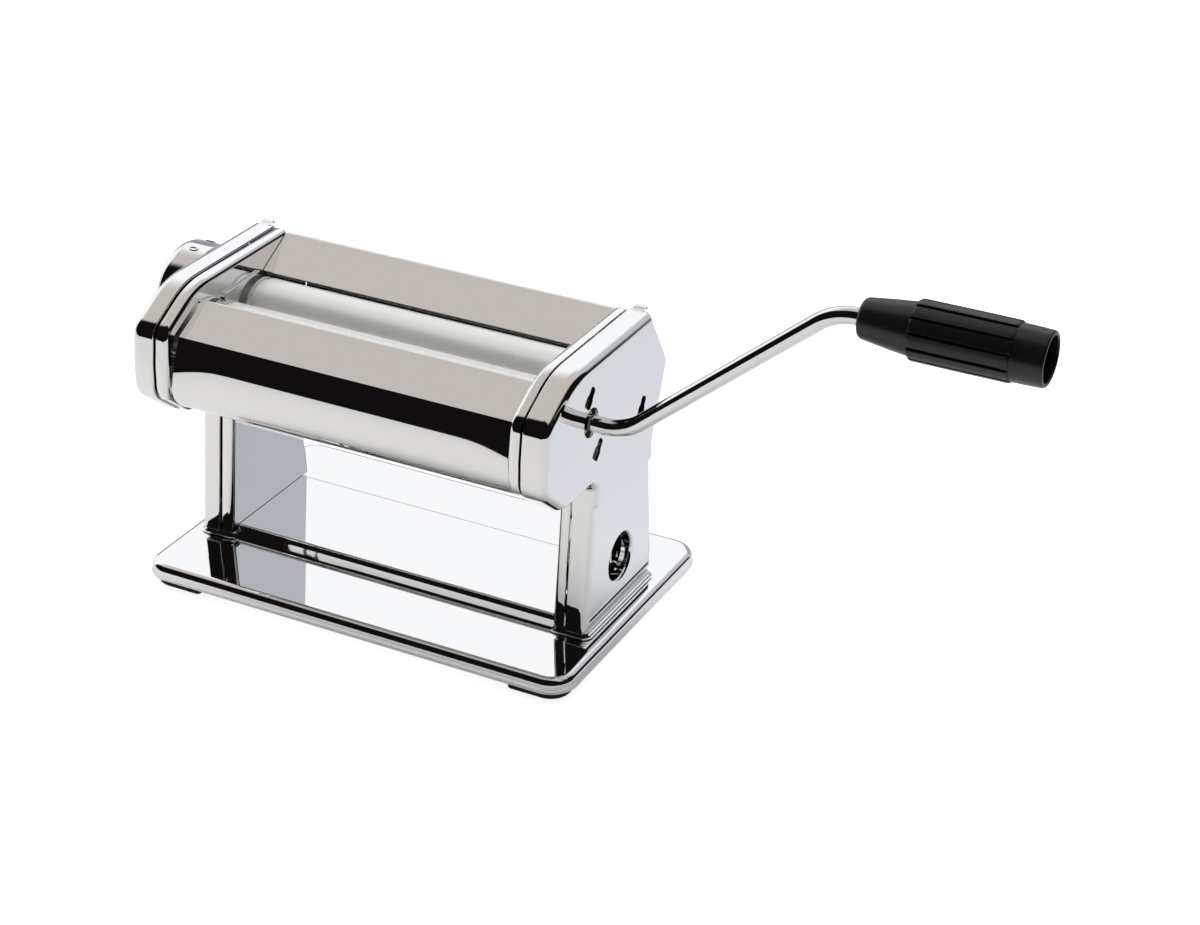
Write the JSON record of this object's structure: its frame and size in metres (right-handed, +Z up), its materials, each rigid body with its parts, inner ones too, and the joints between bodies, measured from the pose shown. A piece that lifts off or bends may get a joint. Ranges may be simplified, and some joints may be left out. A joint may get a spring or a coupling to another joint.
{
  "type": "pasta machine",
  "caption": "Hand-cranked roller machine for pasta sheets: two geared rollers between pressed housings on a flat base, gap knob and removable bent crank with grip.",
  "frame": {"origin": "middle of the overall box, at the underside of the feet", "axes": "+X along the rollers towards the crank, +Y to the back, +Z up"},
  "size_m": [0.3976, 0.1406, 0.1981],
  "materials": {
    "chrome_sheet": "mirror polished chrome plate",
    "steel_inner": "plain zinc-grey steel",
    "roller_steel": "polished plated steel",
    "bronze": "sintered bronze",
    "rubber_black": "matt rubber",
    "grip_black": "satin moulded plastic",
    "dial_black": "satin moulded plastic",
    "scraper_white": "smooth nylon"
  },
  "bodies": {
    "housing": {"base_plate": "chrome_sheet", "foot_front_left": "rubber_black", "foot_front_right": "rubber_black", "foot_back_right": "rubber_black", "foot_back_left": "rubber_black", "side_frame_right": "chrome_sheet", "side_frame_left": "chrome_sheet", "outer_cover_right": "chrome_sheet", "outer_cover_left": "chrome_sheet", "bearing_plate_right": "steel_inner", "bearing_plate_left": "steel_inner", "drive_bush_right": "bronze", "drive_bush_left": "bronze", "tie_rod_front": "steel_inner", "tie_rod_back": "steel_inner", "scraper_rod_front": "steel_inner", "scraper_rod_back": "steel_inner", "frame_spacers": "steel_inner", "tie_rod_nuts": "steel_inner", "base_screws": "steel_inner", "base_nuts": "steel_inner", "front_cover": "chrome_sheet", "hopper_plate": "chrome_sheet", "end_guide_right": "steel_inner", "end_guide_left": "steel_inner", "scraper_front": "scraper_white", "scraper_back": "scraper_white", "shaft_cup_right": "bronze", "shaft_sleeve_left": "bronze", "index_ring": "dial_black"},
    "drive": {"front_roller": "roller_steel", "drive_gear": "steel_inner"},
    "crank": {"crank_bar": "chrome_sheet", "grip_clip": "steel_inner"},
    "grip": {"crank_grip": "grip_black"},
    "carriage": {"bearing_block_right": "bronze", "bearing_block_left": "bronze"},
    "idler": {"rear_roller": "roller_steel", "idle_gear": "steel_inner"},
    "adjuster": {"adjuster_shaft": "steel_inner", "cam_right": "steel_inner", "cam_left": "steel_inner", "knob_washer": "steel_inner", "knob_screw": "steel_inner"},
    "knob": {"adjuster_knob": "chrome_sheet", "index_pin": "steel_inner"}
  },
  "joints": [
    {"name": "drive_spin", "type": "hinge", "parent": "housing", "child": "drive", "pos_m": [-0.08125, -0.0315, 0.115], "axis": [1, 0, 0], "continuous": true},
    {"name": "crank_pull", "type": "slide", "parent": "drive", "child": "crank", "axis": [1, 0, 0], "range_m": [0, 0.03]},
    {"name": "grip_spin", "type": "hinge", "parent": "crank", "child": "grip", "pos_m": [0.15875, -0.0315, 0.1864], "axis": [1, 0, 0], "continuous": true},
    {"name": "knob_turn", "type": "hinge", "parent": "housing", "child": "adjuster", "pos_m": [-0.08125, -0.0041, 0.115], "axis": [1, 0, 0], "range_deg": [0, 297]},
    {"name": "knob_pull", "type": "slide", "parent": "adjuster", "child": "knob", "axis": [-1, 0, 0], "range_m": [0, 0.002]},
    {"name": "gap_slide", "type": "slide", "parent": "housing", "child": "carriage", "axis": [0, -1, 0], "range_m": [0, 0.0022]},
    {"name": "idle_spin", "type": "hinge", "parent": "carriage", "child": "idler", "pos_m": [-0.08125, -0.003, 0.115], "axis": [1, 0, 0], "continuous": true}
  ],
  "couplings": [
    {"joint": "idle_spin", "follows": "drive_spin", "ratio": -1},
    {"joint": "knob_turn", "follows": "gap_slide", "rad_per_m": 2356.2}
  ]
}
